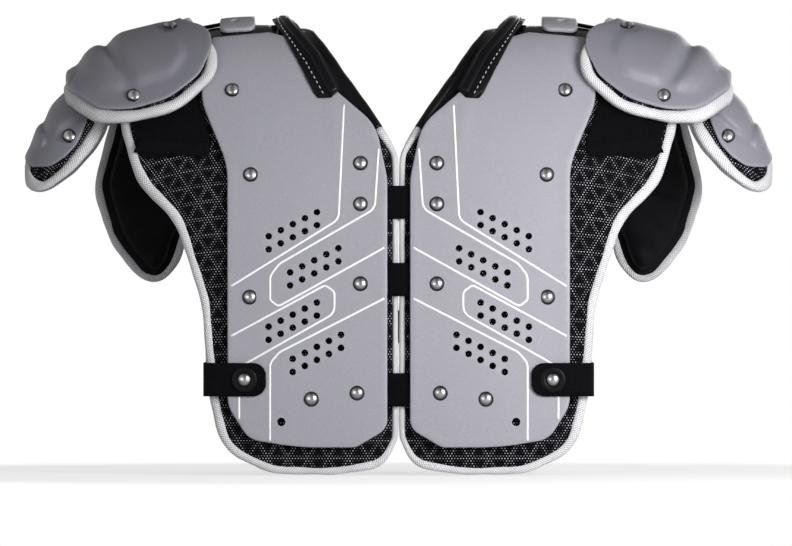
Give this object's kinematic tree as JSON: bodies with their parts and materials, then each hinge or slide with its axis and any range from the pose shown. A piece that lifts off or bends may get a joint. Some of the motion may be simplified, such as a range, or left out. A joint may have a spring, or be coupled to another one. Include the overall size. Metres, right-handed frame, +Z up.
{
  "type": "shoulder pads",
  "caption": "Hard-shelled shoulder pads with front and back plates, padded liners, lifting shoulder caps with arm cups, and side straps.",
  "frame": {"origin": "centre of the bounding box at the floor the pads stand on", "axes": "+Z up, -Y towards the wearer's chest side, +X towards the wearer's left arm"},
  "size_m": [0.566, 0.2437, 0.3456],
  "materials": {
    "plate_grey": "satin silver-grey moulded plastic with a fine speckle",
    "bridge_gloss": "dark glossy moulded plastic",
    "black_vinyl": "smooth black vinyl, stitched at its edge",
    "black_mesh": "black knitted spacer mesh",
    "black_nylon": "smooth black coated nylon over foam",
    "grey_binding": "light grey twill edge binding",
    "cap_plastic": "matte blue-grey moulded plastic",
    "black_webbing": "flat woven black webbing",
    "rivet_chrome": "bright domed rivet heads",
    "hook_steel": "plain bent steel"
  },
  "bodies": {
    "torso": {"left_front_plate": "plate_grey", "left_back_plate": "plate_grey", "left_shoulder_bridge": "bridge_gloss", "left_bridge_tab": "bridge_gloss", "left_collar_trim": "black_vinyl", "left_front_liner": "black_mesh", "left_back_liner": "black_mesh", "left_front_binding": "grey_binding", "left_back_binding": "grey_binding", "left_front_cushion": "black_nylon", "left_back_cushion": "black_nylon", "left_neck_lining": "black_vinyl", "left_shoulder_panel": "black_mesh", "left_side_strap_tab": "black_webbing", "right_front_plate": "plate_grey", "right_back_plate": "plate_grey", "right_shoulder_bridge": "bridge_gloss", "right_bridge_tab": "bridge_gloss", "right_collar_trim": "black_vinyl", "right_front_liner": "black_mesh", "right_back_liner": "black_mesh", "right_front_binding": "grey_binding", "right_back_binding": "grey_binding", "right_front_cushion": "black_nylon", "right_back_cushion": "black_nylon", "right_neck_lining": "black_vinyl", "right_shoulder_panel": "black_mesh", "right_side_strap_tab": "black_webbing", "plate_rivets": "rivet_chrome", "strap_rivets": "rivet_chrome", "hook_studs": "rivet_chrome", "upper_front_tie": "black_webbing", "middle_front_tie": "black_webbing", "lower_front_tie": "black_webbing", "upper_back_tie": "black_webbing", "lower_back_tie": "black_webbing"},
    "left_epaulet": {"left_epaulet_shell": "cap_plastic", "left_epaulet_pad": "black_mesh", "left_epaulet_binding": "grey_binding", "left_epaulet_hinge_strap": "black_webbing", "left_epaulet_rivets": "rivet_chrome"},
    "left_arm_cup": {"left_cup_shell": "cap_plastic", "left_cup_pad": "black_mesh", "left_cup_binding": "grey_binding", "left_cup_hinge_strap": "black_webbing", "left_cup_rivets": "rivet_chrome"},
    "left_side_strap": {"left_side_strap": "black_webbing", "left_side_hook": "hook_steel"},
    "right_epaulet": {"right_epaulet_shell": "cap_plastic", "right_epaulet_pad": "black_mesh", "right_epaulet_binding": "grey_binding", "right_epaulet_hinge_strap": "black_webbing", "right_epaulet_rivets": "rivet_chrome"},
    "right_arm_cup": {"right_cup_shell": "cap_plastic", "right_cup_pad": "black_mesh", "right_cup_binding": "grey_binding", "right_cup_hinge_strap": "black_webbing", "right_cup_rivets": "rivet_chrome"},
    "right_side_strap": {"right_side_strap": "black_webbing", "right_side_hook": "hook_steel"}
  },
  "joints": [
    {"name": "left_epaulet_lift", "type": "hinge", "parent": "torso", "child": "left_epaulet", "pos_m": [0.134, 0, 0.345], "axis": [0, -1, 0], "range_deg": [0, 85]},
    {"name": "left_cup_lift", "type": "hinge", "parent": "left_epaulet", "child": "left_arm_cup", "pos_m": [0.2515, 0, 0.286], "axis": [0, -1, 0], "range_deg": [0, 35]},
    {"name": "left_side_strap_swing", "type": "hinge", "parent": "torso", "child": "left_side_strap", "pos_m": [0.1465, -0.1085, 0.0715], "axis": [0, 0, -1], "range_deg": [0, 75]},
    {"name": "right_epaulet_lift", "type": "hinge", "parent": "torso", "child": "right_epaulet", "pos_m": [-0.134, 0, 0.345], "axis": [0, 1, 0], "range_deg": [0, 85]},
    {"name": "right_cup_lift", "type": "hinge", "parent": "right_epaulet", "child": "right_arm_cup", "pos_m": [-0.2515, 0, 0.286], "axis": [0, 1, 0], "range_deg": [0, 35]},
    {"name": "right_side_strap_swing", "type": "hinge", "parent": "torso", "child": "right_side_strap", "pos_m": [-0.1465, -0.1085, 0.0715], "axis": [0, 0, 1], "range_deg": [0, 75]}
  ]
}
